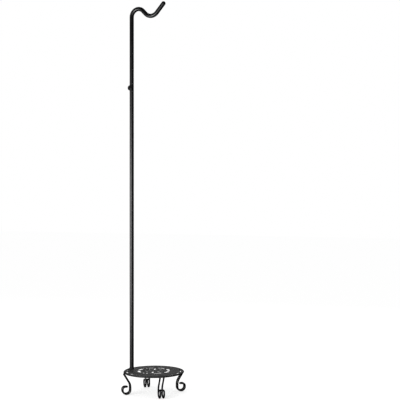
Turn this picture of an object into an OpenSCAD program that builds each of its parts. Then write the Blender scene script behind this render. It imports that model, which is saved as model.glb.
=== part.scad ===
// Hanging plant stand: a round pierced tray on four hairpin scroll feet, with a
// three-part pole at its edge that ends in a swan-neck hook above the tray.
// Millimetres, +Z up. The origin is on the floor under the tray's centre, and
// +X runs from the pole towards the hook's tip.

/* [Tray] */
// Outer diameter of the tray
tray_d = 226; // [200:1:300]
// Height of the tray's rim above the floor
tray_height = 82; // [78:1:120]
// Thickness of the tray's pressed sheet
sheet_t = 1.5; // [1:0.1:2.5]
// Diameter of the round rod inside the rolled rim
rim_rod_d = 5; // [4:0.5:8]
// Height of the raised centre panel above the rim
panel_rise = 0.8; // [0.5:0.1:2]
// Flat band between the pole's flange and the centre panel
panel_margin = 1.6; // [1:0.1:6]

/* [Piercing] */
// Number of bean-shaped slots around the rim
rim_slots = 16; // [8:4:24]
// Width of a rim slot
rim_slot_w = 6.5; // [4:0.5:9]
// Angle that a rim slot spans, in degrees
rim_slot_span = 8; // [5:0.5:12]
// Solid web between the rim rod and the rim slots
rim_web = 2; // [1.5:0.5:4]
// Number of long slots in the centre panel
panel_slots = 8; // [6:1:10]
// Width of a long slot
panel_slot_w = 10; // [6:0.5:12]
// Angle that a long slot spans between its end centres, in degrees
panel_slot_span = 26; // [18:1:28]
// Diameter of the round holes outside the long slots
dot_d = 6; // [4:0.5:8]
// Distance from the panel's edge to the centres of the round holes
dot_inset = 9; // [7:0.5:12]
// Distance from the round holes' circle to the long slots' circle
slot_inset = 15; // [13:0.5:18]
// Solid web between the long slots and the centre petals
petal_web = 6; // [4:0.5:8]
// Length of a centre petal
petal_len = 27; // [20:1:30]
// Width of a centre petal
petal_w = 8; // [5:0.5:9]

/* [Feet] */
// Diameter of the bent rod of a foot
foot_rod_d = 6.4; // [5:0.1:8]
// Distance between the two rods of one foot, centre to centre
foot_gap = 14.2; // [12:0.1:22]
// How far the floor contact lies inside the rim rod's circle
foot_inset = 4; // [0:0.2:8]
// Distance from the rim rod's centre out to a leg's centre line
leg_offset = 5.2; // [4.6:0.1:5.6]
// How far a leg runs up past the rim rod's side, under the rolled edge
leg_rise = 1.2; // [0.6:0.1:1.3]
// Lean of the legs below the rim, in degrees from vertical
leg_lean = 31.5; // [28:0.5:36]
// Bend radius between leg and shank
knee_r = 32.5; // [28:0.5:40]
// Bend radius of the scroll, on the rod's centre line
scroll_r = 14.5; // [13:0.5:18]
// Straight length on the outer side of the scroll
scroll_side = 3; // [1:0.5:8]
// Bend radius of the curl at the scroll's end
curl_r = 9; // [7:0.5:12]
// Angle of the curl before the hairpin's closed end, in degrees
curl_turn = 90; // [80:5:130]
// Straight length between the curl and the hairpin's closed end
curl_tail = 1.5; // [1:0.5:4]

/* [Pole] */
// Outer diameter of the pole's tube
pole_d = 16; // [14:0.5:22]
// Wall of the pole's tube
pole_wall = 1.2; // [1:0.1:2]
// Distance from the tray's outer edge to the pole's axis
pole_inset = 17; // [17:0.5:22]
// Length of the lower section
lower_len = 535; // [300:5:700]
// Length of the upper section
upper_len = 535; // [300:5:700]
// Chamfer on the sections' outer ends
end_chamfer = 0.4; // [0.2:0.1:0.8]
// Length of the threaded plugs inside the sections' ends
plug_len = 18; // [14:1:30]
// Thread diameter of the joint between the sections
joint_thread_d = 10; // [8:1:10]
// Length of the joint's stud beyond its plug
joint_stud_len = 14; // [8:1:16]

/* [Pole fixing] */
// Outer diameter of the flange on the tray
flange_d = 27; // [25:0.5:32]
// Thickness of the flange's edge
flange_t = 1.5; // [1.2:0.1:3]
// Height of the flange's collar
collar_h = 4; // [3:0.5:8]
// Wall of the flange's collar around the pole
collar_wall = 1.4; // [1:0.1:2.5]
// Thread diameter of the bolt under the tray
bolt_d = 8; // [6:1:8]
// Distance across the flats of the bolt's head
bolt_af = 13; // [12:0.5:14]
// Height of the bolt's head
bolt_head_h = 5.3; // [4:0.1:6]
// Length of thread inside the pole's lowest plug
bolt_grip = 14; // [8:1:16]
// Outer diameter of the flat washer
washer_d = 17; // [15:0.5:19]
// Thickness of the flat washer
washer_t = 1.6; // [1:0.1:2.5]
// Outer diameter of the split lock washer
lock_washer_d = 14.8; // [13:0.1:16]
// Thickness of the split lock washer
lock_washer_t = 2; // [1.5:0.1:2.5]

/* [Hook] */
// Straight length of the hook's tube below its first bend
hook_rise = 254; // [150:0.5:400]
// Radius of the first bend, on the centre line
crown_r = 28.5; // [26:0.5:50]
// Angle of the first bend, in degrees
crown_turn = 135.5; // [120:0.5:140]
// Straight length down into the valley
slope_len = 17; // [10:1:60]
// Radius of the valley that holds a planter's loop
valley_r = 33.5; // [26:0.5:50]
// Angle of the valley's bend, in degrees
valley_turn = 93; // [80:1:100]
// Straight length from the valley up to the tip
tip_len = 41.5; // [20:0.5:60]
// Length of the tip cap's stem
cap_stem_len = 10; // [6:1:16]

/* [Height adjustment] */
// Length of the spigot below the hook's tube
spigot_len = 150; // [120:5:250]
// Length of the spigot fixed inside the hook's tube
spigot_grip = 40; // [25:5:60]
// Wall of the spigot's tube
spigot_wall = 1.5; // [1.2:0.1:2]
// Thickness of the glide under the spigot
glide_t = 2; // [1.5:0.5:4]
// Length of the glide's stem inside the spigot
glide_stem_len = 12; // [8:1:20]
// Distance from the upper section's mouth down to the thumbscrew
clamp_drop = 13.5; // [9:0.5:40]

/* [Thumbscrew] */
// Thread diameter of the thumbscrew
screw_d = 6; // [5:1:6]
// Outer diameter of the welded clamp boss
boss_d = 12; // [10:0.5:13]
// Height of the clamp boss above the tube
boss_h = 2; // [1.5:0.5:5]
// Diameter of the thumbscrew's knob
knob_d = 20; // [16:0.5:24]
// Thickness of the knob
knob_t = 5.5; // [5:0.5:9]
// Chamfer on the knob's edges
knob_chamfer = 0.9; // [0.5:0.1:1.5]
// Number of grip flutes around the knob
knob_flutes = 12; // [8:1:16]
// Radius of a grip flute
flute_r = 1.6; // [1:0.1:1.8]
// Length of the stud moulded into the knob
knob_grip = 4; // [3:0.5:4]
// Thickness of the soft pad between screw and spigot
pad_t = 1; // [0.8:0.1:1.5]

/* [Fits] */
// Radial gap of a sliding or threaded fit
fit = 0.05; // [0.02:0.01:0.1]
// Gap between pieces of different bodies that seat on each other
seat_gap = 0.2; // [0.1:0.05:0.3]
// Radial clearance of a bolt's through hole
hole_gap = 0.5; // [0.3:0.1:0.8]

/* [Hidden] */
$fn = 64;
FINE = 160;
over = 1;
// A bent stretch is swollen a little, and the straight stretches lap into it
swell = 0.02;
lap = 0.4;
coat = [0.06, 0.06, 0.065];
plastic = [0.1, 0.1, 0.1];
zinc = [0.62, 0.63, 0.65];

// Rim: the sheet's edge is rolled a quarter turn over the rim rod
roll_in = rim_rod_d / 2 + fit;
roll_out = roll_in + sheet_t;
rim_r = tray_d / 2 - roll_out;
rim_z = tray_height - roll_out;

// Pole axis, centre panel and piercing
pole_x = -(tray_d / 2 - pole_inset);
panel_r = -pole_x - flange_d / 2 - panel_margin - panel_rise;
rim_slot_r = rim_r - rim_rod_d / 2 - rim_web - rim_slot_w / 2;
dot_r = panel_r - dot_inset;
panel_slot_r = dot_r - slot_inset;
petal_out_r = panel_slot_r - panel_slot_w / 2 - petal_web;

// Feet: leg, knee, shank, scroll and curl follow from the rim down to the floor
foot_rod_r = foot_rod_d / 2;
shank_r = rim_r - foot_inset - scroll_r;
leg_r = rim_r + leg_offset * cos(leg_lean);
leg_z = rim_z - leg_offset * sin(leg_lean);
leg_len = (leg_r - shank_r - knee_r * (1 - cos(leg_lean))) / sin(leg_lean);
shank_len = leg_z - foot_rod_r - scroll_r - knee_r * sin(leg_lean) - leg_len * cos(leg_lean);
foot_path = [[leg_len], [knee_r, -leg_lean], [shank_len], [scroll_r, -180],
             [scroll_side], [curl_r, -curl_turn], [curl_tail]];

// Pole sections, from the flange's floor up
pole_r = pole_d / 2;
bore_r = pole_r - pole_wall;
pole_z = tray_height + flange_t;
joint_z = pole_z + lower_len;
mouth_z = joint_z + upper_len;
thread_hole_r = bolt_d / 2 + fit;

// Hook, spigot and clamp
hook_z = mouth_z + seat_gap;
hook_path = [[hook_rise], [crown_r, crown_turn], [slope_len],
             [valley_r, -valley_turn], [tip_len]];
spigot_r = bore_r - fit;
spigot_bore_r = spigot_r - spigot_wall;
spigot_z = hook_z - spigot_len;
clamp_z = mouth_z - clamp_drop;
screw_hole_r = screw_d / 2 + fit;
pad_y = spigot_r + seat_gap;
stud_y = pad_y + pad_t + seat_gap;
boss_y = pole_r + boss_h;
knob_y = boss_y + seat_gap;

// A ring on the XY plane
module ring(outer_r, inner_r) {
    difference() {
        circle(r = outer_r);
        circle(r = inner_r);
    }
}

// A straight tube along +Z
module tube(outer_r, inner_r, length) {
    linear_extrude(length) ring(outer_r, inner_r);
}

// One bend of a round rod, from the origin heading +Z and turning towards +X,
// or towards -X where turn is negative
module bend(rod_r, radius, turn) {
    mirror([turn < 0 ? 1 : 0, 0, 0])
        translate([radius, 0, 0])
            rotate([90, 0, 180])
                rotate_extrude(angle = abs(turn), $fn = FINE)
                    translate([radius, 0]) circle(r = rod_r + swell, $fn = 48);
}

// Moves its children to the end of one step of a path: [length] or [radius, turn]
module after(step) {
    if (len(step) == 1)
        translate([0, 0, step[0]]) children();
    else
        translate([sign(step[1]) * step[0] * (1 - cos(step[1])), 0, step[0] * sin(abs(step[1]))])
            rotate([0, step[1], 0]) children();
}

// A round rod bent along a path whose first and last steps are straight, run on
// past the path's start and end by the given lengths
module bent(path, rod_r, before = 0, beyond = 0, i = 0) {
    last = len(path) - 1;
    step = path[i];
    if (len(step) == 1) {
        back = i == 0 ? before : lap;
        ahead = i == last ? beyond : lap;
        translate([0, 0, -back]) cylinder(h = back + step[0] + ahead, r = rod_r);
    } else
        bend(rod_r, step[0], step[1]);
    if (i < last)
        after(step) bent(path, rod_r, before, beyond, i + 1);
}

// Moves its children to the far end of a path
module at_end(path, i = 0) {
    if (i == len(path)) children();
    else after(path[i]) at_end(path, i + 1) children();
}

// A slot that follows a circle, with round ends a touch narrower than its sides
module arc_slot(radius, width, span) {
    reach = 2 * radius;
    intersection() {
        ring(radius + width / 2, radius - width / 2);
        polygon([[0, 0], reach * [cos(span / 2), sin(span / 2)],
                 reach * [cos(span / 2), -sin(span / 2)]]);
    }
    for (end = [-1, 1])
        rotate(end * span / 2) translate([radius, 0]) circle(d = width - 2 * fit);
}

// A pointed petal along +X, between two arcs
module petal(length, width) {
    arc_r = (length * length / 4 + width * width / 4) / width;
    intersection() {
        translate([length / 2, arc_r - width / 2]) circle(r = arc_r, $fn = FINE);
        translate([length / 2, width / 2 - arc_r]) circle(r = arc_r, $fn = FINE);
    }
}

// The rim rod's solid, grown by a gap for what is coped against it
module rim_rod(gap) {
    translate([0, 0, rim_z])
        rotate_extrude($fn = FINE)
            translate([rim_r, 0]) circle(r = rim_rod_d / 2 + gap);
}

// Every opening punched through the tray's sheet
module piercing() {
    for (i = [0 : rim_slots - 1])
        if (abs(i * 360 / rim_slots - 180) > 1)
            rotate(i * 360 / rim_slots) arc_slot(rim_slot_r, rim_slot_w, rim_slot_span);
    for (i = [0 : panel_slots - 1])
        rotate(i * 360 / panel_slots) {
            arc_slot(panel_slot_r, panel_slot_w, panel_slot_span);
            rotate(180 / panel_slots) {
                translate([dot_r, 0]) circle(d = dot_d);
                translate([petal_out_r - petal_len, 0]) petal(petal_len, petal_w);
            }
        }
    translate([pole_x, 0]) circle(r = bolt_d / 2 + hole_gap);
}

// Pressed and pierced sheet with a raised panel and a rolled rim
module tray_sheet() {
    color(coat)
        difference() {
            rotate_extrude($fn = FINE) {
                polygon([[0, tray_height + panel_rise - sheet_t],
                         [panel_r, tray_height + panel_rise - sheet_t],
                         [panel_r + panel_rise, tray_height - sheet_t],
                         [rim_r, tray_height - sheet_t],
                         [rim_r, tray_height],
                         [panel_r + panel_rise, tray_height],
                         [panel_r, tray_height + panel_rise],
                         [0, tray_height + panel_rise]]);
                translate([rim_r, rim_z])
                    intersection() {
                        ring(roll_out, roll_in);
                        square(roll_out + over);
                    }
            }
            translate([0, 0, tray_height - sheet_t - over])
                linear_extrude(sheet_t + panel_rise + 2 * over) piercing();
        }
}

// Round rod under the rolled edge, bent to a ring and welded
module rim_ring() {
    color(coat) rim_rod(0);
}

// Hairpin foot: one rod, bent double and scrolled, both ends coped to the rim rod's side
module foot(direction) {
    color(coat)
        rotate(direction)
            difference() {
                translate([leg_r, 0, leg_z])
                    rotate([0, 180 + leg_lean, 0]) {
                        for (side = [-1, 1])
                            translate([0, side * foot_gap / 2, 0])
                                bent(foot_path, foot_rod_r, leg_rise, lap);
                        at_end(foot_path)
                            translate([0, -foot_gap / 2, 0])
                                rotate([0, 0, 90]) bend(foot_rod_r, foot_gap / 2, 180);
                    }
                rim_rod(fit);
            }
}

// Turned flange on the tray, with a seat for the pole's foot
module pole_flange() {
    color(coat)
        translate([pole_x, 0, tray_height])
            rotate_extrude()
                polygon([[bolt_d / 2 + hole_gap, 0], [flange_d / 2, 0],
                         [flange_d / 2, flange_t / 2], [flange_d / 2 - flange_t / 2, flange_t],
                         [pole_r + fit + collar_wall + flange_t / 2, flange_t],
                         [pole_r + fit + collar_wall, 1.5 * flange_t],
                         [pole_r + fit + collar_wall, collar_h - collar_wall / 2],
                         [pole_r + fit + collar_wall / 2, collar_h],
                         [pole_r + fit, collar_h], [pole_r + fit, flange_t],
                         [bolt_d / 2 + hole_gap, flange_t]]);
}

// Hexagon bolt that draws the pole down on the tray, from below
module base_bolt() {
    under = tray_height - sheet_t - washer_t - lock_washer_t;
    color(zinc)
        translate([pole_x, 0, under]) {
            translate([0, 0, -bolt_head_h])
                cylinder(h = bolt_head_h, d = bolt_af / cos(30), $fn = 6);
            cylinder(h = pole_z - under + bolt_grip, d = bolt_d);
        }
}

// Flat washer under the tray's sheet
module base_washer() {
    color(zinc)
        translate([pole_x, 0, tray_height - sheet_t - washer_t])
            tube(washer_d / 2, bolt_d / 2 + hole_gap / 2, washer_t);
}

// Split lock washer between the flat washer and the bolt's head
module base_lock_washer() {
    split = lock_washer_t / 2;
    color(zinc)
        translate([pole_x, 0, tray_height - sheet_t - washer_t - lock_washer_t])
            difference() {
                tube(lock_washer_d / 2, bolt_d / 2 + hole_gap / 2, lock_washer_t);
                translate([0, -split / 2, -over]) cube([lock_washer_d, split, lock_washer_t + 2 * over]);
            }
}

// Threaded plug in the foot of the lower section
module base_plug() {
    color(zinc)
        translate([pole_x, 0, pole_z]) tube(bore_r - fit / 2, thread_hole_r, plug_len);
}

// One straight section of the pole, its outer edges chamfered
module pole_section(length) {
    rotate_extrude()
        polygon([[bore_r, 0], [pole_r - end_chamfer, 0], [pole_r, end_chamfer],
                 [pole_r, length - end_chamfer], [pole_r - end_chamfer, length],
                 [bore_r, length]]);
}

// Lower section of the pole
module pole_lower() {
    color(coat) translate([pole_x, 0, pole_z]) pole_section(lower_len);
}

// Threaded socket in the top of the lower section
module joint_socket() {
    color(zinc)
        translate([pole_x, 0, joint_z - plug_len])
            tube(bore_r - fit / 2, joint_thread_d / 2 + fit, plug_len);
}

// Plug in the foot of the upper section, with the stud that screws into the socket
module joint_stud() {
    color(zinc)
        translate([pole_x, 0, joint_z]) {
            cylinder(h = plug_len, r = bore_r - fit / 2);
            translate([0, 0, -joint_stud_len]) cylinder(h = joint_stud_len, d = joint_thread_d);
        }
}

// Upper section of the pole, drilled for the thumbscrew
module pole_upper() {
    color(coat)
        difference() {
            translate([pole_x, 0, joint_z]) pole_section(upper_len);
            translate([pole_x, 0, clamp_z])
                rotate([90, 0, 0]) cylinder(h = pole_d, r = screw_hole_r);
        }
}

// Threaded boss welded on the upper section, its back coped to the tube
module clamp_boss() {
    color(coat)
        translate([pole_x, 0, clamp_z])
            difference() {
                rotate([90, 0, 0]) tube(boss_d / 2, screw_hole_r, boss_y);
                translate([0, 0, -boss_d]) cylinder(h = 2 * boss_d, r = pole_r + fit / 2);
            }
}

// Swan-neck tube: up, over the crown, down to the valley and up to the tip
module hook_tube() {
    color(coat)
        translate([pole_x, 0, hook_z])
            difference() {
                bent(hook_path, pole_r);
                bent(hook_path, bore_r, over, over);
            }
}

// Domed cap in the hook's tip
module hook_cap() {
    color(plastic)
        translate([pole_x, 0, hook_z])
            at_end(hook_path)
                rotate_extrude() {
                    intersection() {
                        circle(r = pole_r);
                        square(pole_d);
                    }
                    translate([0, -cap_stem_len]) square([bore_r - fit, cap_stem_len]);
                }
}

// Spigot fixed in the hook's tube, which slides and turns in the upper section
module hook_spigot() {
    color(zinc)
        translate([pole_x, 0, spigot_z])
            tube(spigot_r, spigot_bore_r, spigot_len + spigot_grip);
}

// Glide that the spigot turns on, and that keeps it central in the pole
module spigot_glide() {
    color(plastic)
        translate([pole_x, 0, spigot_z - seat_gap - glide_t]) {
            cylinder(h = glide_t, r = spigot_r);
            cylinder(h = glide_t + seat_gap + glide_stem_len, r = spigot_bore_r - fit);
        }
}

// Moves its children onto the thumbscrew's axis, heading out of the tube
module on_screw(distance) {
    translate([pole_x, -distance, clamp_z]) rotate([90, 0, 0]) children();
}

// Soft pad that the screw presses against the spigot
module clamp_pad() {
    color(plastic)
        on_screw(pad_y) cylinder(h = pad_t, r = screw_hole_r - seat_gap);
}

// Threaded stud of the thumbscrew
module thumb_stud() {
    color(zinc)
        on_screw(stud_y) cylinder(h = knob_y + knob_grip - stud_y, d = screw_d);
}

// Fluted knob moulded on the stud
module thumb_knob() {
    color(plastic)
        on_screw(knob_y)
            difference() {
                rotate_extrude()
                    polygon([[0, 0], [knob_d / 2 - knob_chamfer, 0], [knob_d / 2, knob_chamfer],
                             [knob_d / 2, knob_t - knob_chamfer],
                             [knob_d / 2 - knob_chamfer, knob_t], [0, knob_t]]);
                translate([0, 0, -over]) cylinder(h = over + knob_grip + fit, r = screw_d / 2 + fit / 2);
                for (i = [0 : knob_flutes - 1])
                    rotate(i * 360 / knob_flutes)
                        translate([knob_d / 2 + flute_r / 2, 0, -over])
                            cylinder(h = knob_t + 2 * over, r = flute_r);
            }
}

tray_sheet();
rim_ring();
foot(-135);  // foot_left_front
foot(135);  // foot_left_rear
foot(-45);  // foot_right_front
foot(45);  // foot_right_rear
pole_flange();
base_bolt();
base_washer();
base_lock_washer();
base_plug();
pole_lower();
joint_socket();
joint_stud();
pole_upper();
clamp_boss();
hook_tube();
hook_cap();
hook_spigot();
spigot_glide();
clamp_pad();
thumb_stud();
thumb_knob();
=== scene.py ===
"""Hanging plant stand: a black pierced tray on hairpin feet, with a pole at its edge that ends in
a swan-neck hook. +Z is up, the floor is at zero and the tray's centre is over the origin. The
pieces are drawn in millimetres, which new_piece turns into metres. All else is in metres."""
import math

import bmesh
import bpy
import numpy as np
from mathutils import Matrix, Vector
from mathutils.geometry import delaunay_2d_cdt


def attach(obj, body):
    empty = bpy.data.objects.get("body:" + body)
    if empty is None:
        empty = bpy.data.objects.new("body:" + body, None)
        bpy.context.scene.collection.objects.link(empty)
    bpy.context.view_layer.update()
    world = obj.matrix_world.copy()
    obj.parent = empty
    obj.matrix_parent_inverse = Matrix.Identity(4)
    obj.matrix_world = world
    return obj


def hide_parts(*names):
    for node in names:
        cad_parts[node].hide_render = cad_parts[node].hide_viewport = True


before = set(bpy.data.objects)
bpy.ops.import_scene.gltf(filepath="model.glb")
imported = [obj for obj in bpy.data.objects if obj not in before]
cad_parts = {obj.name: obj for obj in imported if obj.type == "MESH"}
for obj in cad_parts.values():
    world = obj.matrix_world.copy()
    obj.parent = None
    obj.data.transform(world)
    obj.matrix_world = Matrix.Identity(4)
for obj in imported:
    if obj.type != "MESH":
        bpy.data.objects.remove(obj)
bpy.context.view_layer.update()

# --- Camera ------------------------------------------------------------------------------
# A level camera with a long lens stands in front of the tray and a little to its right.
# It looks past the stand's right side, so the stand falls left of the middle.
PICTURE_SIDE = 400
STAND_COLUMN = 153.8
LONG_LENS_MM = 82.74
FILM_MM = 36.0
CAMERA_TURN = math.radians(30.0)
CAMERA_AWAY = 3.43
CAMERA_HEIGHT = 0.7183

camera_data = bpy.data.cameras.new("portrait_camera")
camera_data.lens = LONG_LENS_MM
camera_data.sensor_width = FILM_MM
camera_data.clip_end = 60
camera = bpy.data.objects.new("portrait_camera", camera_data)
bpy.context.scene.collection.objects.link(camera)
look_past = math.atan((PICTURE_SIDE / 2 - STAND_COLUMN) * FILM_MM / PICTURE_SIDE / LONG_LENS_MM)
camera.location = (
    CAMERA_AWAY * math.sin(CAMERA_TURN),
    -CAMERA_AWAY * math.cos(CAMERA_TURN),
    CAMERA_HEIGHT,
)
camera.rotation_euler = (math.pi / 2, 0, CAMERA_TURN - look_past)
bpy.context.scene.camera = camera
bpy.context.scene.view_settings.view_transform = "Standard"

# --- Studio ------------------------------------------------------------------------------
# White floor and sky, a softbox at the front left, and a higher one behind that looks down at the
# tray. Black cards at the sides, above, high in front and on the floor show only in gloss, and
# keep the tubes dark there. Turns are in degrees round the stand, from the tray's front.
FLOOR_HALF = 14.0
FLOOR_DROP = 0.0002
FLOOR_GLOW = 0.66
SKY_LIGHT = 0.55
CARD_AWAY = 1.5
CARD_TOP = 3.0
CARD_FOOT = 0.02
OPEN_FRONT = (-70, 38)
OPEN_FRONT_TOP = 1.28
OPEN_BACK = (211, 217.5)
ALL_ROUND = (-70, 290)
PINHOLE = 0.001
FLOOR_CARD_LIFT = 0.0006
FLOOR_CARD_REACH = 1.45


def node(tree, kind, inputs=None, **settings):
    """One shader node. Each input is a constant, or another node's socket to link from."""
    made = tree.nodes.new("ShaderNode" + kind)
    for key, value in settings.items():
        setattr(made, key, value)
    for key, value in (inputs or {}).items():
        if isinstance(value, bpy.types.NodeSocket):
            tree.links.new(value, made.inputs[key])
        else:
            made.inputs[key].default_value = value
    return made


def bare_tree(owner):
    """The emptied node tree of a material or world."""
    owner.use_nodes = True
    owner.node_tree.nodes.clear()
    return owner.node_tree


def sums(tree, operation, first, second):
    """One sum of two numbers."""
    return node(tree, "Math", {0: first, 1: second}, operation=operation).outputs[0]


def seen_directly(tree):
    """1 for rays from the camera, off gloss and through glass; 0 for rays that carry light."""
    path = node(tree, "LightPath").outputs
    either = sums(tree, "MAXIMUM", path["Is Camera Ray"], path["Is Glossy Ray"])
    return sums(tree, "MAXIMUM", either, path["Is Transmission Ray"])


def stage_piece(name, points, faces, shader):
    """A floor or card of the studio: a mesh with one shader on it, which isn't part of the object."""
    mesh = bpy.data.meshes.new(name)
    mesh.from_pydata(points, [], faces)
    mesh.materials.append(bpy.data.materials.new(name))
    tree = bare_tree(mesh.materials[0])
    node(tree, "OutputMaterial", {"Surface": shader(tree)})
    made = bpy.data.objects.new(name, mesh)
    bpy.context.scene.collection.objects.link(made)
    return made


def paper(tree):
    """White paper: matt, with a glow that only the camera and gloss see, so shadows stay on it."""
    matt = node(tree, "BsdfDiffuse", {"Color": (0.6, 0.6, 0.6, 1)})
    dark = node(tree, "Emission", {"Strength": 0.0})
    glow = node(tree, "Emission", {"Strength": FLOOR_GLOW})
    seen = node(tree, "MixShader", {0: seen_directly(tree), 1: dark.outputs[0], 2: glow.outputs[0]})
    return node(tree, "AddShader", {0: matt.outputs[0], 1: seen.outputs[0]}).outputs[0]


def black_card(tree):
    """Black flock that returns no light."""
    return node(tree, "BsdfDiffuse", {"Color": (0, 0, 0, 1)}).outputs[0]


def softbox(name, turn, away, height, wide, tall, power, aim_height):
    """A rectangular lamp at an angle round the stand from the front, aimed at the stand's axis."""
    lamp_data = bpy.data.lights.new(name, "AREA")
    lamp_data.shape = "RECTANGLE"
    lamp_data.size, lamp_data.size_y = wide, tall
    lamp_data.energy = power
    lamp = bpy.data.objects.new(name, lamp_data)
    bpy.context.scene.collection.objects.link(lamp)
    turn = math.radians(turn)
    lamp.location = (away * math.sin(turn), -away * math.cos(turn), height)
    lamp.rotation_euler = (math.pi / 2 - math.atan2(height - aim_height, away), 0, turn)


sky = bpy.data.worlds.new("white_sky")
bpy.context.scene.world = sky
sky_tree = bare_tree(sky)
sky_light = node(sky_tree, "Background", {"Color": (1, 1, 1, 1), "Strength": SKY_LIGHT})
sky_seen = node(sky_tree, "Background", {"Color": (1, 1, 1, 1), "Strength": 1.0})
sky_mix = node(
    sky_tree, "MixShader", {0: seen_directly(sky_tree), 1: sky_light.outputs[0], 2: sky_seen.outputs[0]}
)
node(sky_tree, "OutputWorld", {"Surface": sky_mix.outputs[0]})

floor_corners = [
    (x * FLOOR_HALF, y * FLOOR_HALF, -FLOOR_DROP) for x, y in ((-1, -1), (1, -1), (1, 1), (-1, 1))
]
stage_piece("floor", floor_corners, [(0, 1, 2, 3)], paper)


def flock_card(name, low, high):
    """A black card that only gloss sees, between two rows of points of the same number."""
    points = np.concatenate([low, high])
    steps = len(low)
    first = np.arange(steps - 1)
    faces = np.stack([first, first + 1, first + 1 + steps, first + steps], axis=1)
    card = stage_piece(name, points.tolist(), faces.tolist(), black_card)
    for ray in ("camera", "diffuse", "transmission", "shadow", "volume_scatter"):
        setattr(card, "visible_" + ray, False)


def card_row(from_turn, to_turn, height, away=CARD_AWAY, steps=48):
    """A row of points round the stand, from one turn to another:
    (away * sin turn, -away * cos turn, height)."""
    turn = np.radians(np.linspace(from_turn, to_turn, steps))
    return np.stack([away * np.sin(turn), -away * np.cos(turn), np.full(steps, height)], axis=1)


for card_name, from_turn, to_turn, low in (
    ("right_card", OPEN_FRONT[1], OPEN_BACK[0], CARD_FOOT),
    ("left_card", OPEN_BACK[1], ALL_ROUND[1], CARD_FOOT),
    ("high_front_card", *OPEN_FRONT, OPEN_FRONT_TOP),
):
    flock_card(card_name, card_row(from_turn, to_turn, low), card_row(from_turn, to_turn, CARD_TOP))
flock_card("lid_card", card_row(*ALL_ROUND, CARD_TOP), card_row(*ALL_ROUND, CARD_TOP, PINHOLE))
flock_card(
    "floor_card",
    card_row(*ALL_ROUND, FLOOR_CARD_LIFT, PINHOLE),
    card_row(*ALL_ROUND, FLOOR_CARD_LIFT, FLOOR_CARD_REACH),
)

softbox(
    "front_softbox", turn=-19, away=1.4, height=0.56, wide=0.9, tall=0.9, power=15.8, aim_height=0.56
)
softbox("rear_softbox", turn=190, away=2.0, height=1.6, wide=1.2, tall=0.8, power=10, aim_height=0.3)

# --- Tray sheet --------------------------------------------------------------------------
# A round of 1.5 mm steel sheet, pressed to a slightly raised centre panel and pierced with
# slots, dots and petals. Its edge is rolled out over the rim rod. Powder coated black.
SHEET_TOP = 82.0
SHEET_T = 1.5
PANEL_RISE = 0.8
PANEL_EDGE = 79.4
BAND_EDGE = 81.6
ROLL_START = 105.6
RIM_RADIUS = 108.95
RIM_HEIGHT = 77.95
ROLL_OUTSIDE = 4.05
LIP_RADIUS = 0.45
LIP_LAND = 0.3
POLE_X = -96.0
POLE_HOLE_R = 4.5
RIM_SLOTS = 16
RIM_SLOT_RADIUS, RIM_SLOT_WIDTH, RIM_SLOT_SPAN = 101.2, 6.5, 8
PANEL_PLACES = 8
PANEL_HALF_PLACE = 22.5
PANEL_SLOT_RADIUS, PANEL_SLOT_WIDTH, PANEL_SLOT_SPAN = 56.1, 10, 26
PETAL_ROOT, PETAL_LENGTH, PETAL_WIDTH = 18.1, 27, 8
DOT_RADIUS, DOT_R = 71.1, 3
COAT_BLACK = (0.0065, 0.0065, 0.0072, 1)
COAT_SPECULAR = 0.6
RUBBED_BLACK = (0.03, 0.03, 0.031, 1)
DUST_GREY = (0.11, 0.105, 0.10, 1)
BARE_STEEL = (0.34, 0.33, 0.32, 1)


def arc_chain(arcs):
    """A closed outline of circular arcs. Each arc is a centre, a radius, two angles, a number of
    steps and which way is out of the opening: point = centre + radius * (cos, sin) of the angle,
    normal = side * (cos, sin)."""
    points, normals = [], []
    for cx, cy, radius, start, end, steps, side in arcs:
        angle = np.linspace(start, end, steps, endpoint=False) + (end - start) / steps / 2
        ray = np.stack([np.cos(angle), np.sin(angle)], axis=1)
        points.append(np.array([cx, cy]) + radius * ray)
        normals.append(side * ray)
    return np.concatenate(points), np.concatenate(normals)


def round_hole(x, radius, steps):
    """A round hole on the tray's x axis."""
    return arc_chain([(x, 0, radius, 0, 2 * math.pi, steps, 1)])


def arc_slot(radius, width, span, steps, end_steps=9):
    """A slot along a circle with round ends: an outer arc, an end, an inner arc and an end."""
    half, h = width / 2, math.radians(span) / 2
    ends = [(radius * math.cos(a), radius * math.sin(a), half) for a in (h, -h)]
    return arc_chain([
        (0, 0, radius + half, -h, h, steps, 1),
        (*ends[0], h, h + math.pi, end_steps, 1),
        (0, 0, radius - half, h, -h, steps, -1),
        (*ends[1], math.pi - h, 2 * math.pi - h, end_steps, 1),
    ])


def petal(root, length, width, steps=20, tip=0.5):
    """A petal between two arcs of one radius, both its points rounded off by a small circle that
    touches the two arcs."""
    big = (length**2 / 4 + width**2 / 4) / width
    middle, drop = root + length / 2, big - width / 2
    reach = math.sqrt((big - tip) ** 2 - drop**2)
    a = math.atan2(drop, reach)
    return arc_chain([
        (middle, -drop, big, a, math.pi - a, steps, 1),
        (middle - reach, 0, tip, math.pi - a, math.pi + a, 7, 1),
        (middle, drop, big, math.pi + a, 2 * math.pi - a, steps, 1),
        (middle + reach, 0, tip, -a, a, 7, 1),
    ])


def repeated(outline, count, first=0.0):
    """The outline turned round the tray's centre, count times from the first angle in degrees."""
    out = []
    for turn in np.radians(first + np.arange(count) * 360 / count):
        spin = np.array([[math.cos(turn), math.sin(turn)], [-math.sin(turn), math.cos(turn)]])
        out.append((outline[0] @ spin, outline[1] @ spin))
    return out


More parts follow.
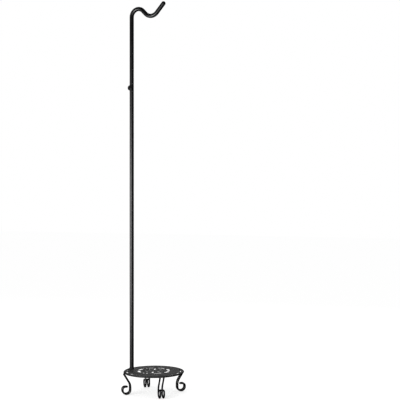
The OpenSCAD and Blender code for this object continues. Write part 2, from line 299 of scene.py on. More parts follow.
def lattice(rows, columns):
    """Quads between neighbours on a grid of points, joined round from the last column to the
    first."""
    row = np.arange(rows - 1)[:, None]
    column = np.arange(columns)[None, :]
    beside = (column + 1) % columns
    quads = [row * columns + column, row * columns + beside,
             (row + 1) * columns + beside, (row + 1) * columns + column]
    grid = (rows - 1, columns)
    return np.stack([np.broadcast_to(q, grid) for q in quads], -1).reshape(-1, 4)


def carried(profile, outline):
    """A profile of (outward, up) points carried round an outline: every outline point moves out
    along its normal and takes the profile's height. Rows follow the profile."""
    points, normals = outline
    flat = points[None] + profile[:, :1, None] * normals[None]
    high = np.broadcast_to(profile[:, 1][:, None, None], flat.shape[:2] + (1,))
    return np.concatenate([flat, high], axis=2)


def sheet_between(outlines, height, facing_up):
    """A flat of sheet between closed outlines, triangulated; a triangle is kept where its middle
    is inside an odd number of the outlines."""
    loops = [np.asarray(o) for o in outlines]
    points = np.concatenate(loops)
    edges, start = [], 0
    for loop in loops:
        index = start + np.arange(len(loop))
        edges.append(np.stack([index, np.roll(index, -1)], axis=1))
        start += len(loop)
    edges = np.concatenate(edges)
    verts, _, faces = delaunay_2d_cdt(
        [Vector(p) for p in points.tolist()], edges.tolist(), [], 0, 1e-6
    )[:3]
    verts, faces = np.array([tuple(v) for v in verts]), np.array(faces)
    middle = verts[faces].mean(axis=1)
    a, b = points[edges[:, 0]], points[edges[:, 1]]
    rise = b[:, 1] - a[:, 1]
    crosses = (a[None, :, 1] > middle[:, None, 1]) != (b[None, :, 1] > middle[:, None, 1])
    along = (middle[:, None, 1] - a[None, :, 1]) / np.where(rise == 0, 1, rise)[None]
    right = a[None, :, 0] + along * (b - a)[None, :, 0] > middle[:, None, 0]
    faces = faces[(crosses & right).sum(axis=1) % 2 == 1]
    p, q, r = (verts[faces[:, i]] for i in range(3))
    turn = (q[:, 0] - p[:, 0]) * (r[:, 1] - p[:, 1]) - (q[:, 1] - p[:, 1]) * (r[:, 0] - p[:, 0])
    wrong = (turn > 0) != facing_up
    faces[wrong] = faces[wrong][:, ::-1]
    return np.column_stack([verts, np.full(len(verts), height)]), faces


def new_piece(name, blocks, body, material, replaces=(), crease=None):
    """One piece from blocks of points in millimetres and faces: its doubles are merged, its faces
    turned outwards, and its edges sharper than the crease angle left sharp."""
    points, faces, start = [], [], 0
    for block_points, block_faces in blocks:
        points.append(np.asarray(block_points).reshape(-1, 3))
        faces += (np.asarray(block_faces) + start).tolist()
        start += len(points[-1])
    mesh = bpy.data.meshes.new(name)
    mesh.from_pydata((np.concatenate(points) / 1000).tolist(), [], faces)
    work = bmesh.new()
    work.from_mesh(mesh)
    bmesh.ops.remove_doubles(work, verts=work.verts, dist=2e-6)
    bmesh.ops.dissolve_degenerate(work, edges=work.edges, dist=1e-7)
    bmesh.ops.recalc_face_normals(work, faces=work.faces)
    work.to_mesh(mesh)
    work.free()
    mesh.shade_smooth()
    if crease:
        mesh.set_sharp_from_angle(angle=math.radians(crease))
    mesh.materials.append(material)
    made = bpy.data.objects.new(name, mesh)
    bpy.context.scene.collection.objects.link(made)
    if replaces:
        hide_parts(*replaces)
    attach(made, body)
    return made


def skin_group(name, inputs, outputs):
    """An empty shader node group with named inputs and their values, and named outputs."""
    group = bpy.data.node_groups.new(name, "ShaderNodeTree")
    for key, (kind, value) in inputs.items():
        socket = group.interface.new_socket(key, in_out="INPUT", socket_type="NodeSocket" + kind)
        socket.default_value = value
    for key, kind in outputs.items():
        group.interface.new_socket(key, in_out="OUTPUT", socket_type="NodeSocket" + kind)
    return group, group.nodes.new("NodeGroupInput").outputs, group.nodes.new("NodeGroupOutput").inputs


def ramp(tree, value, low, high, from_value=0.0, to_value=1.0):
    """The value, taken smoothly from one range to another and held at its ends."""
    return node(
        tree, "MapRange", {0: value, 1: low, 2: high, 3: from_value, 4: to_value},
        interpolation_type="SMOOTHSTEP",
    ).outputs[0]


def blend_colours(tree, share, first, second):
    """The first colour going over to the second as the share goes from 0 to 1."""
    return node(tree, "Mix", {0: share, 6: first, 7: second}, data_type="RGBA").outputs[2]


def grain(tree, place, scale, detail=2.0):
    """Even noise, so many grains to the metre."""
    return node(tree, "TexNoise", {"Vector": place, "Scale": scale, "Detail": detail}).outputs[0]


powder_skin, skin_in, skin_out = skin_group(
    "powder_skin",
    {
        "Coat": ("Color", COAT_BLACK),
        "Matt": ("Float", 0.30),
        "Worn": ("Float", 0.0),
        "Dust": ("Float", 0.25),
    },
    {"Base Color": "Color", "Roughness": "Float", "Metallic": "Float", "Normal": "Vector"},
)
# Orange peel of about 2 mm and a finer one, gloss that drifts over a few centimetres, dust on
# what faces up, and steel showing in specks where the coat is worn.
place = node(powder_skin, "TexCoord").outputs["Object"]
peel = grain(powder_skin, place, 480)
drift = grain(powder_skin, place, 22)
speck = grain(powder_skin, place, 1500, 3.0)
upward = node(
    powder_skin, "SeparateXYZ", {0: node(powder_skin, "NewGeometry").outputs["Normal"]}
).outputs[2]
settled = sums(
    powder_skin, "MULTIPLY", ramp(powder_skin, upward, 0.5, 1.0), ramp(powder_skin, drift, 0.4, 0.7)
)
dusty = sums(powder_skin, "MULTIPLY", settled, skin_in["Dust"])
dusty = sums(powder_skin, "MULTIPLY", dusty, ramp(powder_skin, speck, 0.35, 0.65, 0.5, 1.0))
threshold = sums(powder_skin, "SUBTRACT", 1.08, sums(powder_skin, "MULTIPLY", skin_in["Worn"], 0.55))
bare = ramp(powder_skin, sums(powder_skin, "SUBTRACT", speck, threshold), 0.0, 0.04)
coat = blend_colours(powder_skin, dusty, skin_in["Coat"], DUST_GREY)
rub = sums(powder_skin, "MULTIPLY", skin_in["Worn"], 0.5)
rubbed = blend_colours(powder_skin, rub, coat, RUBBED_BLACK)
steel = blend_colours(powder_skin, bare, rubbed, BARE_STEEL)
powder_skin.links.new(steel, skin_out["Base Color"])
gloss = sums(powder_skin, "ADD", skin_in["Matt"], ramp(powder_skin, drift, 0.3, 0.7, -0.03, 0.04))
gloss = sums(powder_skin, "SUBTRACT", gloss, sums(powder_skin, "MULTIPLY", skin_in["Worn"], 0.08))
gloss = sums(powder_skin, "ADD", gloss, sums(powder_skin, "MULTIPLY", dusty, 0.5))
powder_skin.links.new(gloss, skin_out["Roughness"])
powder_skin.links.new(bare, skin_out["Metallic"])
fine_peel = sums(powder_skin, "MULTIPLY", grain(powder_skin, place, 2400, 1.0), 0.2)
relief = sums(powder_skin, "ADD", peel, fine_peel)
relief = sums(powder_skin, "SUBTRACT", relief, sums(powder_skin, "MULTIPLY", bare, 0.6))
powder_skin.links.new(
    node(powder_skin, "Bump", {"Height": relief, "Strength": 0.8, "Distance": 0.000018}).outputs[0],
    skin_out["Normal"],
)


def skinned(name, skin, values=None, **constants):
    """A material on the Principled shader. A skin group gives what changes over the surface, from
    the values or masks it is given, and the constants are set on the shader's own sockets."""
    material = bpy.data.materials.new(name)
    tree = bare_tree(material)
    given = values(tree) if callable(values) else values
    varying = node(tree, "Group", given, node_tree=skin).outputs
    surface = node(tree, "BsdfPrincipled", {**{made.name: made for made in varying}, **constants})
    node(tree, "OutputMaterial", {"Surface": surface.outputs[0]})
    return material


def coated(name, wear):
    """The black powder coat, with the wear of the piece it is on."""
    return skinned(name, powder_skin, wear, **{"Specular IOR Level": COAT_SPECULAR})


def finish(material, *names):
    """CAD nodes whose shape is right take the material."""
    for name in names:
        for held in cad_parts[name].material_slots:
            held.material = material


def heights(tree):
    """The height above the floor, and the object's own place."""
    spot = node(tree, "TexCoord").outputs["Object"]
    return node(tree, "SeparateXYZ", {0: spot}).outputs[2], spot


def arris_wear(tree):
    """Upper arrises, where the smooth normal is between level and upright, are a little rubbed."""
    rise = node(tree, "SeparateXYZ", {0: node(tree, "NewGeometry").outputs["Normal"]}).outputs[2]
    arris = sums(tree, "MULTIPLY", ramp(tree, rise, 0.3, 0.6), ramp(tree, rise, 0.9, 0.99, 1.0, 0.0))
    return {"Matt": 0.58, "Worn": sums(tree, "MULTIPLY", arris, 0.45), "Dust": 0.12}


tray_coat = coated("tray_coat", arris_wear)

quarter = np.radians(np.linspace(0, 90, 6))[:, None]
rounding = LIP_RADIUS * np.concatenate([1 - np.sin(quarter), np.cos(quarter) - 1], axis=1)
land = LIP_RADIUS + LIP_LAND
lip = np.concatenate([
    [(land, 0)],
    rounding,
    rounding[::-1] * (1, -1) - (0, SHEET_T),
    [(land, -SHEET_T)],
])
round_tray = np.radians(np.arange(0, 360, 1.0))
unit_ring = np.stack([np.cos(round_tray), np.sin(round_tray)], axis=1)
centre_line = (np.zeros_like(unit_ring), unit_ring)

panel_slot = arc_slot(PANEL_SLOT_RADIUS, PANEL_SLOT_WIDTH, PANEL_SLOT_SPAN, 20)
panel_petal = petal(PETAL_ROOT, PETAL_LENGTH, PETAL_WIDTH)
panel_openings = (
    repeated(panel_slot, PANEL_PLACES)
    + repeated(round_hole(DOT_RADIUS, DOT_R, 32), PANEL_PLACES, PANEL_HALF_PLACE)
    + repeated(panel_petal, PANEL_PLACES, PANEL_HALF_PLACE)
)
# The pole's bolt hole takes the place of the rim slot on its side.
rim_slot = arc_slot(RIM_SLOT_RADIUS, RIM_SLOT_WIDTH, RIM_SLOT_SPAN, 12)
band_openings = repeated(rim_slot, RIM_SLOTS)
del band_openings[RIM_SLOTS // 2]
band_openings.append(round_hole(POLE_X, POLE_HOLE_R, 36))

tray_blocks = []
for openings, circles, top in (
    (panel_openings, (PANEL_EDGE,), SHEET_TOP + PANEL_RISE),
    (band_openings, (BAND_EDGE, ROLL_START), SHEET_TOP),
):
    for opening in openings:
        wall = carried(lip + (0, top), opening)
        tray_blocks.append((wall, lattice(*wall.shape[:2])))
    outlines = [unit_ring * r for r in circles] + [spot + land * out for spot, out in openings]
    tray_blocks.append(sheet_between(outlines, top, True))
    tray_blocks.append(sheet_between(outlines, top - SHEET_T, False))

share = np.linspace(0, 1, 9)
climb = SHEET_TOP + PANEL_RISE * share**2 * (3 - 2 * share)
ramp_line = np.stack([BAND_EDGE + (PANEL_EDGE - BAND_EDGE) * share, climb], axis=1)
over_rod = np.radians(np.linspace(90, 6.4, 16))[:, None]
arc_over = np.concatenate([np.cos(over_rod), np.sin(over_rod)], axis=1)
lip_ring = RIM_RADIUS + ROLL_OUTSIDE - SHEET_T
lip_outer = LIP_RADIUS * np.concatenate([np.cos(quarter) - 1, -np.sin(quarter)], axis=1)
lip_inner = LIP_RADIUS * np.concatenate([-np.sin(quarter), -np.cos(quarter)], axis=1)
roll_line = np.concatenate([
    [(ROLL_START, SHEET_TOP)],
    (RIM_RADIUS, RIM_HEIGHT) + ROLL_OUTSIDE * arc_over,
    (lip_ring + SHEET_T, RIM_HEIGHT + LIP_RADIUS) + lip_outer,
    (lip_ring + LIP_RADIUS, RIM_HEIGHT + LIP_RADIUS) + lip_inner,
    (RIM_RADIUS, RIM_HEIGHT) + (ROLL_OUTSIDE - SHEET_T) * arc_over[::-1],
    [(ROLL_START, SHEET_TOP - SHEET_T)],
])
for line in (ramp_line, ramp_line - (0, SHEET_T), roll_line):
    turned = carried(line, centre_line)
    tray_blocks.append((turned, lattice(*turned.shape[:2])))
new_piece("tray_pressing", tray_blocks, "stand", tray_coat, ("tray_sheet",))

# --- Rim rod -----------------------------------------------------------------------------
# A 5 mm steel rod bent to a ring under the rolled edge, its ends butt welded. Short tacks hold
# the sheet's lip to it. Both are coated with the tray.
TACK_TURNS = (12, 78, 102, 168, 192, 258, 282, 348)
TACK_LENGTH = 9.0
TACK_RADIUS = 0.95
TACK_OUT, TACK_DROP, TACK_WANDER = 0.25, 0.35, 0.15
TACK_FACE = (0.8, -0.6)
ROD_R = 2.5
BUTT_TURN = 64.0
BUTT_RADIUS = 0.85
BUTT_SINK = 0.35
RIPPLE_LAG = 1.1
RIPPLE_DEPTH = 0.09
BEAD_DRIFT = 0.05


def once_round(steps):
    """Angles in equal steps once round: angle = step * full turn / steps."""
    return np.arange(steps) * 2 * math.pi / steps


def weld_bead(path, out, radius, taper=0.0, closed=False, sides=14, ripples=9.0):
    """A weld bead: a round section carried along a path. Its radius swells and falls in ripples
    whose crests lag at the sides, and closes to a point over the taper's share at both ends:
    point = path + radius * (cos a * out + sin a * side), side = direction x out."""
    if closed:
        direction = np.roll(path, -1, axis=0) - np.roll(path, 1, axis=0)
    else:
        direction = np.gradient(path, axis=0)
    direction /= np.linalg.norm(direction, axis=1)[:, None]
    out = out - (out * direction).sum(axis=1)[:, None] * direction
    out /= np.linalg.norm(out, axis=1)[:, None]
    side = np.cross(direction, out)
    along = np.linspace(0, 1, len(path), endpoint=not closed)
    a = once_round(sides)
    crest = ripples * along[:, None] * 2 * math.pi + RIPPLE_LAG * np.cos(a)[None] - RIPPLE_LAG
    swell = 1 + RIPPLE_DEPTH * np.sin(crest) + BEAD_DRIFT * np.sin(along * 23)[:, None]
    ends = np.clip(np.minimum(along, 1 - along) / taper, 0, 1) if taper else np.ones_like(along)
    size = radius * swell * np.sqrt(1 - (1 - ends) ** 2)[:, None]
    points = path[:, None] + size[..., None] * (
        np.cos(a)[None, :, None] * out[:, None] + np.sin(a)[None, :, None] * side[:, None]
    )
    if closed:
        points = np.concatenate([points, points[:1]])
    return points, lattice(*points.shape[:2])


def ring_place(turn, radius, height):
    """Points at angles in radians, a radius and a height, as a list of x, y and z."""
    turn, radius, height = np.broadcast_arrays(turn, radius, height)
    return np.stack([radius * np.cos(turn), radius * np.sin(turn), height], axis=-1)


tack_blocks = []
tack_half = TACK_LENGTH / RIM_RADIUS / 2
tack_height = RIM_HEIGHT - TACK_DROP + TACK_WANDER * np.sin(np.linspace(0, 5, 40))
for turn in np.radians(TACK_TURNS):
    spots = np.linspace(turn - tack_half, turn + tack_half, 40)
    path = ring_place(spots, RIM_RADIUS + ROD_R + TACK_OUT, tack_height)
    tack_blocks.append(weld_bead(path, ring_place(spots, *TACK_FACE), TACK_RADIUS, 0.18, ripples=6))
# The butt weld goes most of the way round the rod, and is left off where the sheet lies on it.
butt = math.radians(BUTT_TURN)
round_rod = np.radians(np.linspace(-215, 20, 60))
across_rod, up_rod = np.cos(round_rod), np.sin(round_rod)
sunk = ROD_R - BUTT_SINK
butt_path = ring_place(butt, RIM_RADIUS + sunk * across_rod, RIM_HEIGHT + sunk * up_rod)
butt_out = ring_place(butt, across_rod, up_rod)
tack_blocks.append(weld_bead(butt_path, butt_out, BUTT_RADIUS, 0.1, ripples=11))

rod_coat = coated("rod_coat", {"Worn": 0.05, "Dust": 0.1})
weld_coat = coated("weld_coat", {"Worn": 0.15, "Dust": 0.15})
finish(rod_coat, "rim_ring")
new_piece("rim_tacks", tack_blocks, "stand", weld_coat)

# --- Hairpin feet ------------------------------------------------------------------------
# Four feet, each one 6.4 mm rod bent double, scrolled outwards at the floor and curled up at
# its closed end. Both ends of the rod are welded under the rim rod. The coat wears at the floor.
FEET = {
    "foot_left_front": -135, "foot_left_rear": 135, "foot_right_front": -45, "foot_right_rear": 45
}
LEG_SPREAD = 7.1
LEG_ROD_R = 3.2
LEG_LEAN = math.radians(31.5)
LEG_BEAD = 1.25
BEAD_HALF = 2.9
BEAD_LOW = -2.3
BEAD_TALL = 3.9
BEAD_SQUARE = 0.6
BEAD_WRAP = 0.55
BEAD_STEP = 0.45
BEAD_FACE = 0.8


def floor_scuff(tree):
    """Worn within three millimetres of the floor, and a little in patches above it."""
    height, spot = heights(tree)
    low = ramp(tree, height, 0.0006, 0.0035, 1.0, 0.0)
    patch = ramp(tree, grain(tree, spot, 60), 0.62, 0.75, 0.0, 0.25)
    return {"Worn": sums(tree, "MAXIMUM", low, patch), "Dust": 0.1}


foot_coat = coated("foot_coat", floor_scuff)
finish(foot_coat, *FEET)

# A bead runs up one side of the rod, over its end against the sheet's lip, and down the other.
# On the rim rod's surface: t is along the ring, u up the leg, and v out from ring to leg.
hoop = np.linspace(0, math.pi, 72)
t = BEAD_HALF * np.sign(np.cos(hoop)) * np.abs(np.cos(hoop)) ** BEAD_SQUARE
u = BEAD_LOW + BEAD_TALL * np.abs(np.sin(hoop)) ** BEAD_SQUARE
v = BEAD_WRAP * (LEG_ROD_R - np.sqrt(LEG_ROD_R**2 - t**2)) + BEAD_STEP * np.sin(hoop) ** 4
up_leg = np.array([math.sin(LEG_LEAN), math.cos(LEG_LEAN)])
from_ring = np.array([math.cos(LEG_LEAN), -math.sin(LEG_LEAN)])
leg_blocks = []
for direction in FEET.values():
    turn = math.radians(direction)
    radial = np.array([math.cos(turn), math.sin(turn), 0])
    beside = np.array([-math.sin(turn), math.cos(turn), 0])
    for spread in (-LEG_SPREAD, LEG_SPREAD):
        flat = (RIM_RADIUS, RIM_HEIGHT) + (ROD_R + v)[:, None] * from_ring + u[:, None] * up_leg
        inset = RIM_RADIUS - math.sqrt(RIM_RADIUS**2 - spread**2)
        path = (flat[:, :1] - inset) * radial + (spread + t)[:, None] * beside
        path[:, 2] = flat[:, 1]
        away = t[:, None] * beside + (u * up_leg[0] + BEAD_FACE)[:, None] * radial
        away[:, 2] = u * up_leg[1]
        leg_blocks.append(weld_bead(path, away, LEG_BEAD, 0.12, ripples=13))
new_piece("leg_welds", leg_blocks, "stand", weld_coat)

# --- Pole flange -------------------------------------------------------------------------
# A turned steel flange with a low collar that the pole stands in, clamped on the tray by the
# bolt below. Coated with the rest. Dust gathers on it.
flange_coat = coated("flange_coat", {"Worn": 0.12, "Dust": 0.3})
finish(flange_coat, "pole_flange")

# --- Base bolt, washers and plug ---------------------------------------------------------
# An M8 hex bolt with a lock washer and a washer comes up through the tray into the threaded
# plug pressed in the pole's foot, and draws the pole down on its flange. Bright zinc plate.
BOLT_R = 4.0
BOLT_PITCH = 1.25
BOLT_ACROSS = 13.0
BOLT_FACE = 71.6
BOLT_SEAT = 76.9
BOLT_THREAD = 79.2
BOLT_END = 97.5
BOLT_TIP_R = 3.5
RUN_OUT = 0.6
THREAD_DEPTH = 0.61
ZINC_BLUE, ZINC_STRAW = (0.46, 0.49, 0.53, 1), (0.52, 0.50, 0.43, 1)
ZINC_AGED, ZINC_RUBBED = (0.11, 0.115, 0.12, 1), (0.60, 0.60, 0.59, 1)


def turned_piece(rows, columns, centre, upright=True):
    """A piece on a lathe: each row gives a radius and a height, or an array of radii and one of
    heights round the piece. Rows of no radius close it:
    point = centre + (radius * cos a, radius * sin a, height), a running once round. A piece that
    isn't upright lies along -Y: point = centre + (radius * cos a, -height, radius * sin a)."""
    a = once_round(columns)
    radius = np.stack([np.broadcast_to(row[0], columns) for row in rows])
    height = np.stack([np.broadcast_to(row[1], columns) for row in rows])
    flat = (radius * np.cos(a), radius * np.sin(a))
    if upright:
        points = np.stack([*flat, height], axis=2)
    else:
        points = np.stack([flat[0], -height, flat[1]], axis=2)
    return points + np.array(centre), lattice(*radius.shape)


def thread_rows(radius, pitch, start, end, columns, per_turn=8):
    """Rows of a screw thread that runs out at both ends: radius = outer - depth * ridge, where
    ridge is the flattened triangle wave of height / pitch - angle / full turn. Its depth is a
    share of its pitch."""
    a = np.arange(columns) / columns
    height = np.arange(start, end + 1e-6, pitch / per_turn)
    depth = THREAD_DEPTH * pitch * np.clip(np.minimum(height - start, end - height) / pitch, 0, 1)
    phase = height[:, None] / pitch - a[None]
    ridge = np.clip(2.4 * np.abs(phase - np.round(phase)) - 0.1, 0, 1)
    return [(radius - d * row, z) for d, row, z in zip(depth, ridge, height)]


def hex_rows(across, face, seat, columns):
    """Rows of a hexagon head, from its face's middle to its seat: the flats lie at across / 2 over
    the cosine of the angle from the nearest flat, and a 30 degree cone takes the corners off. A
    round washer face, a little less than across, is left proud under the flats."""
    a = once_round(columns)
    flat = across / 2 / np.cos((a + math.pi / 6) % (math.pi / 3) - math.pi / 6)
    chamfer = across / 2 * 0.95
    washer_face, under_flats = seat - 0.3, seat - 0.35
    return [
        (0.0, face),
        (chamfer * 0.98, face),
        (chamfer, face + 0.02),
        (flat, face + (flat - chamfer) * math.tan(math.pi / 6)),
        (flat, under_flats - (flat - across / 2) * 0.4),
        (across / 2 * 0.97, washer_face),
        (across / 2 * 0.96, seat),
    ]


zinc_skin, skin_in, skin_out = skin_group(
    "zinc_skin",
    {"Stretch": ("Vector", (1.0, 1.0, 1.0)), "Rubbed": ("Float", 0.0), "Aged": ("Float", 0.0)},
    {"Base Color": "Color", "Roughness": "Float", "Normal": "Vector"},
)
# Plate with a faint blue and straw tint, dull patches, and tool marks that run as stretched. It
# goes grey and matt as it ages, and is bright again where it is rubbed.
place = node(zinc_skin, "TexCoord").outputs["Object"]
marked = node(
    zinc_skin, "VectorMath", {0: place, 1: skin_in["Stretch"]}, operation="MULTIPLY"
).outputs[0]
tint = ramp(zinc_skin, grain(zinc_skin, place, 140), 0.35, 0.65)
marks = grain(zinc_skin, marked, 900, 3.0)
plate = blend_colours(zinc_skin, tint, ZINC_BLUE, ZINC_STRAW)
plate = blend_colours(zinc_skin, skin_in["Aged"], plate, ZINC_AGED)
bright = blend_colours(zinc_skin, skin_in["Rubbed"], plate, ZINC_RUBBED)
zinc_skin.links.new(bright, skin_out["Base Color"])
dull = sums(
    zinc_skin, "ADD", ramp(zinc_skin, marks, 0.3, 0.7, 0.26, 0.40), ramp(zinc_skin, tint, 0, 1, 0, 0.08)
)
dull = sums(zinc_skin, "ADD", dull, sums(zinc_skin, "MULTIPLY", skin_in["Aged"], 0.12))
dull = sums(zinc_skin, "SUBTRACT", dull, sums(zinc_skin, "MULTIPLY", skin_in["Rubbed"], 0.1))
zinc_skin.links.new(dull, skin_out["Roughness"])
zinc_skin.links.new(
    node(zinc_skin, "Bump", {"Height": marks, "Strength": 0.5, "Distance": 0.000008}).outputs[0],
    skin_out["Normal"],
)
pressed_zinc = skinned("pressed_zinc", zinc_skin, Metallic=1.0)
turned_zinc = skinned("turned_zinc", zinc_skin, {"Stretch": (0.15, 0.15, 3.0)}, Metallic=1.0)

bolt_rows = hex_rows(BOLT_ACROSS, BOLT_FACE, BOLT_SEAT, 72)
bolt_rows += [(BOLT_R, BOLT_SEAT)]
bolt_rows += thread_rows(BOLT_R, BOLT_PITCH, BOLT_THREAD, BOLT_END - RUN_OUT, 72)
bolt_rows += [(BOLT_TIP_R, BOLT_END), (0.0, BOLT_END)]
new_piece(
    "hex_bolt", [turned_piece(bolt_rows, 72, (POLE_X, 0, 0))], "stand", turned_zinc,
    ("base_bolt",), crease=28,
)
finish(pressed_zinc, "base_washer", "base_lock_washer")
finish(turned_zinc, "base_plug")

# --- Pole --------------------------------------------------------------------------------
# Two lengths of 16 mm steel tube, coated black. A plug with an M10 stud in the upper one screws
# into a threaded socket in the lower one. The mouth at the top is rubbed by the hook.
JOINT_HEIGHT = 618.5
JOINT_TIP = 604.5
JOINT_TIP_R = 4.2
JOINT_THREAD = 605.1
JOINT_R = 5.0
JOINT_PITCH = 1.5
JOINT_NECK_R = 4.3
PLUG_R = 6.775
PLUG_RIM_R = 6.3
PLUG_LENGTH = 18.0
POLE_TOP = 1.1535


def pole_wear(tree):
    """Worn at the joint's hairline and the mouth, with a few long faint rubs down the tube."""
    height, spot = heights(tree)
    mouth = ramp(tree, height, POLE_TOP - 0.0022, POLE_TOP - 0.0002, 0.0, 0.55)
    from_joint = node(
        tree, "Math", {0: height, 1: JOINT_HEIGHT / 1000, 2: 0.0012}, operation="COMPARE"
    ).outputs[0]
    long_spot = node(
        tree, "VectorMath", {0: spot, 1: (1.0, 1.0, 0.06)}, operation="MULTIPLY"
    ).outputs[0]
    rubs = ramp(tree, grain(tree, long_spot, 160), 0.66, 0.8, 0.0, 0.22)
    seam = sums(tree, "MULTIPLY", from_joint, 0.3)
    return {"Worn": sums(tree, "MAXIMUM", sums(tree, "MAXIMUM", mouth, rubs), seam), "Dust": 0.1}


pole_coat = coated("pole_coat", pole_wear)
finish(pole_coat, "pole_lower", "pole_upper")
finish(turned_zinc, "joint_socket")

plug_end = JOINT_HEIGHT + PLUG_LENGTH
stud_rows = [(0.0, JOINT_TIP), (JOINT_TIP_R, JOINT_TIP)]
stud_rows += thread_rows(JOINT_R, JOINT_PITCH, JOINT_THREAD, JOINT_HEIGHT - RUN_OUT, 64)
stud_rows += [(JOINT_NECK_R, JOINT_HEIGHT), (PLUG_RIM_R, JOINT_HEIGHT)]
stud_rows += [(PLUG_R, JOINT_HEIGHT + 0.45), (PLUG_R, plug_end - 0.5)]
stud_rows += [(PLUG_RIM_R, plug_end), (0.0, plug_end)]
new_piece(
    "pole_stud", [turned_piece(stud_rows, 64, (POLE_X, 0, 0))], "stand", turned_zinc,
    ("joint_stud",), crease=28,
)

# --- Height clamp ------------------------------------------------------------------------
# A threaded boss is welded on the pole near its mouth. A thumbscrew with a fluted plastic knob
# runs in it, and presses a soft pad on the sliding spigot.
CLAMP_HEIGHT = 1140.0
POLE_R = 8.0
BOSS_R = 6.0
KNOB_R = 10.0
KNOB_BACK = 10.2
KNOB_FRONT = 15.7
KNOB_EDGE = 1.1
KNOB_DOME = 1.5
FLUTES = 12
FLUTE_R = 1.6
FLUTE_RING = 10.8
FLUTE_EASE = 0.18
HUB_FACE_R, HUB_R, HUB_ROOT_R = 6.2, 6.5, 7.2
HUB_STEP = 0.3
KNOB_BORE = 4.0
KNOB_CROWN_R, KNOB_DOME_R = 8.4, 8.6
STUD_R = 3.0
STUD_TIP, STUD_THREAD, STUD_THREAD_END, STUD_END = 8.15, 8.5, 14.0, 14.2
STUD_PITCH = 1.0
SADDLE_BEAD = 0.75
SADDLE_LIFT = 0.15
SADDLE_TILT = -0.6
KNOB_BLACK = (0.006, 0.006, 0.0065, 1)
FLOW_GREY = (0.03, 0.03, 0.031, 1)
NYLON_CREAM = (0.72, 0.70, 0.63, 1)

saddle = once_round(120)
saddle_path = np.stack([
    POLE_X + BOSS_R * np.cos(saddle),
    -np.sqrt(POLE_R**2 - (BOSS_R * np.cos(saddle)) ** 2) - SADDLE_LIFT,
    CLAMP_HEIGHT + BOSS_R * np.sin(saddle),
], axis=1)
saddle_out = np.stack([np.cos(saddle), np.full(120, SADDLE_TILT), np.sin(saddle)], axis=1)
saddle_weld = weld_bead(saddle_path, saddle_out, SADDLE_BEAD, closed=True, ripples=26)
new_piece("boss_weld", [saddle_weld], "stand", weld_coat)
finish(flange_coat, "clamp_boss")

moulded_skin, skin_in, skin_out = skin_group(
    "moulded_skin",
    {"Tone": ("Color", KNOB_BLACK), "Handled": ("Float", 0.0)},
    {"Base Color": "Color", "Roughness": "Float", "Normal": "Vector"},
)
# Fine spark-eroded grain, flow marks in the tone, and gloss where it is handled.
place = node(moulded_skin, "TexCoord").outputs["Object"]
fine = grain(moulded_skin, place, 2600, 1.0)
flow = ramp(moulded_skin, grain(moulded_skin, place, 90), 0.3, 0.7)
lighter = blend_colours(moulded_skin, 0.35, skin_in["Tone"], FLOW_GREY)
flowed = blend_colours(moulded_skin, flow, skin_in["Tone"], lighter)
moulded_skin.links.new(flowed, skin_out["Base Color"])
matt = sums(
    moulded_skin, "ADD",
    ramp(moulded_skin, flow, 0, 1, 0.34, 0.40), ramp(moulded_skin, fine, 0.3, 0.7, 0, 0.06),
)
matt = sums(moulded_skin, "SUBTRACT", matt, sums(moulded_skin, "MULTIPLY", skin_in["Handled"], 0.12))
moulded_skin.links.new(matt, skin_out["Roughness"])
moulded_skin.links.new(
    node(moulded_skin, "Bump", {"Height": fine, "Strength": 0.7, "Distance": 0.000012}).outputs[0],
    skin_out["Normal"],
)
black_plastic = skinned("black_plastic", moulded_skin, {"Handled": 0.5}, **{"Specular IOR Level": 0.08})
nylon = skinned("nylon", moulded_skin, {"Tone": NYLON_CREAM}, **{"Specular IOR Level": 0.4})

# The knob's outline: full radius, cut by twelve flutes, their corners eased by a soft minimum.
knob_turn = once_round(240)
from_flute = (knob_turn + math.pi / FLUTES) % (2 * math.pi / FLUTES) - math.pi / FLUTES
chord = FLUTE_R**2 - (FLUTE_RING * np.sin(from_flute)) ** 2
flute_wall = FLUTE_RING * np.cos(from_flute) - np.sqrt(np.clip(chord, 0, None))
fluted = np.where(chord > 0, flute_wall, 2 * KNOB_R)
knob_outline = -FLUTE_EASE * np.log(np.exp(-KNOB_R / FLUTE_EASE) + np.exp(-fluted / FLUTE_EASE))
# Its rows, from the bore over the hub and the underside, round the edge, and over the dome.
edge = np.radians(np.linspace(0, 90, 7))
bore_r, bore_end = STUD_R + 0.05, KNOB_BACK + KNOB_BORE
underside, shoulder = KNOB_BACK + HUB_STEP, KNOB_FRONT - KNOB_DOME
knob_rows = [(0.0, bore_end), (bore_r, bore_end), (bore_r, underside), (STUD_R + 0.35, KNOB_BACK)]
knob_rows += [(HUB_FACE_R, KNOB_BACK), (HUB_R, KNOB_BACK + 0.25), (HUB_ROOT_R, underside)]
knob_rows += [(KNOB_R - 1.9, underside)]
knob_rows += [
    (knob_outline - KNOB_EDGE * (1 - math.sin(a)), underside + KNOB_EDGE * (1 - math.cos(a)))
    for a in edge
]
knob_rows += [
    (knob_outline - KNOB_EDGE * (1 - math.cos(a)), shoulder - KNOB_EDGE * (1 - math.sin(a)))
    for a in edge[:-1]
]
knob_rows += [
    (r, KNOB_FRONT - KNOB_DOME * (r / KNOB_DOME_R) ** 2) for r in np.linspace(KNOB_CROWN_R, 0, 16)
]
new_piece(
    "fluted_knob", [turned_piece(knob_rows, 240, (POLE_X, 0, CLAMP_HEIGHT), upright=False)],
    "thumbscrew", black_plastic, ("thumb_knob",), crease=50,
)
screw_rows = [(0.0, STUD_TIP), (STUD_R - 0.4, STUD_TIP)]
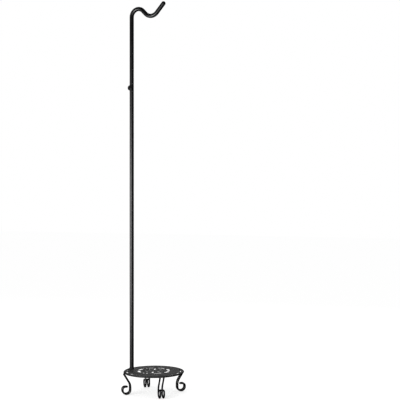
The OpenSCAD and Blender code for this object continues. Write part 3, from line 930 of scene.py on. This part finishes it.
screw_rows += thread_rows(STUD_R, STUD_PITCH, STUD_THREAD, STUD_THREAD_END, 48)
screw_rows += [(STUD_R - 0.3, STUD_END), (0.0, STUD_END)]
new_piece(
    "knob_screw", [turned_piece(screw_rows, 48, (POLE_X, 0, CLAMP_HEIGHT), upright=False)],
    "thumbscrew", turned_zinc, ("thumb_stud",), crease=28,
)
finish(nylon, "clamp_pad")

# --- Hook --------------------------------------------------------------------------------
# A 16 mm tube bent to a swan neck, with a plastic cap on its tip. The reduced spigot in its foot
# slides and turns in the pole, kept central by a nylon glide. Loads rub the coat in the valley.
VALLEY_SPOT = (-0.01136, 0.0, 1.4142)
HOOK_FOOT = 1.1537


def hook_wear(tree):
    """Worn in the valley, where a load hangs, and at the tube's lower edge."""
    height, spot = heights(tree)
    away = node(tree, "VectorMath", {0: spot, 1: VALLEY_SPOT}, operation="DISTANCE").outputs["Value"]
    valley = ramp(tree, away, 0.004, 0.016, 0.9, 0.0)
    foot = ramp(tree, height, HOOK_FOOT + 0.0003, HOOK_FOOT + 0.002, 0.4, 0.0)
    return {"Worn": sums(tree, "MAXIMUM", valley, foot), "Dust": 0.12, "Matt": 0.28}


def spigot_rub(tree):
    """A bright streak down the side that the clamp's pad presses on. The rest has gone grey."""
    across = node(tree, "SeparateXYZ", {0: node(tree, "TexCoord").outputs["Object"]}).outputs
    off_line = sums(tree, "ABSOLUTE", sums(tree, "SUBTRACT", across[0], POLE_X / 1000), 0.0)
    near_line = ramp(tree, off_line, 0.0015, 0.0032, 1.0, 0.0)
    streak = sums(tree, "MULTIPLY", near_line, ramp(tree, across[1], -0.004, 0.0, 1.0, 0.0))
    return {"Stretch": (2.0, 2.0, 0.1), "Rubbed": streak, "Aged": 0.8}


hook_coat = coated("hook_coat", hook_wear)
drawn_zinc = skinned("drawn_zinc", zinc_skin, spigot_rub, Metallic=1.0)
finish(hook_coat, "hook_tube")
finish(black_plastic, "hook_cap")
finish(drawn_zinc, "hook_spigot")
finish(nylon, "spigot_glide")
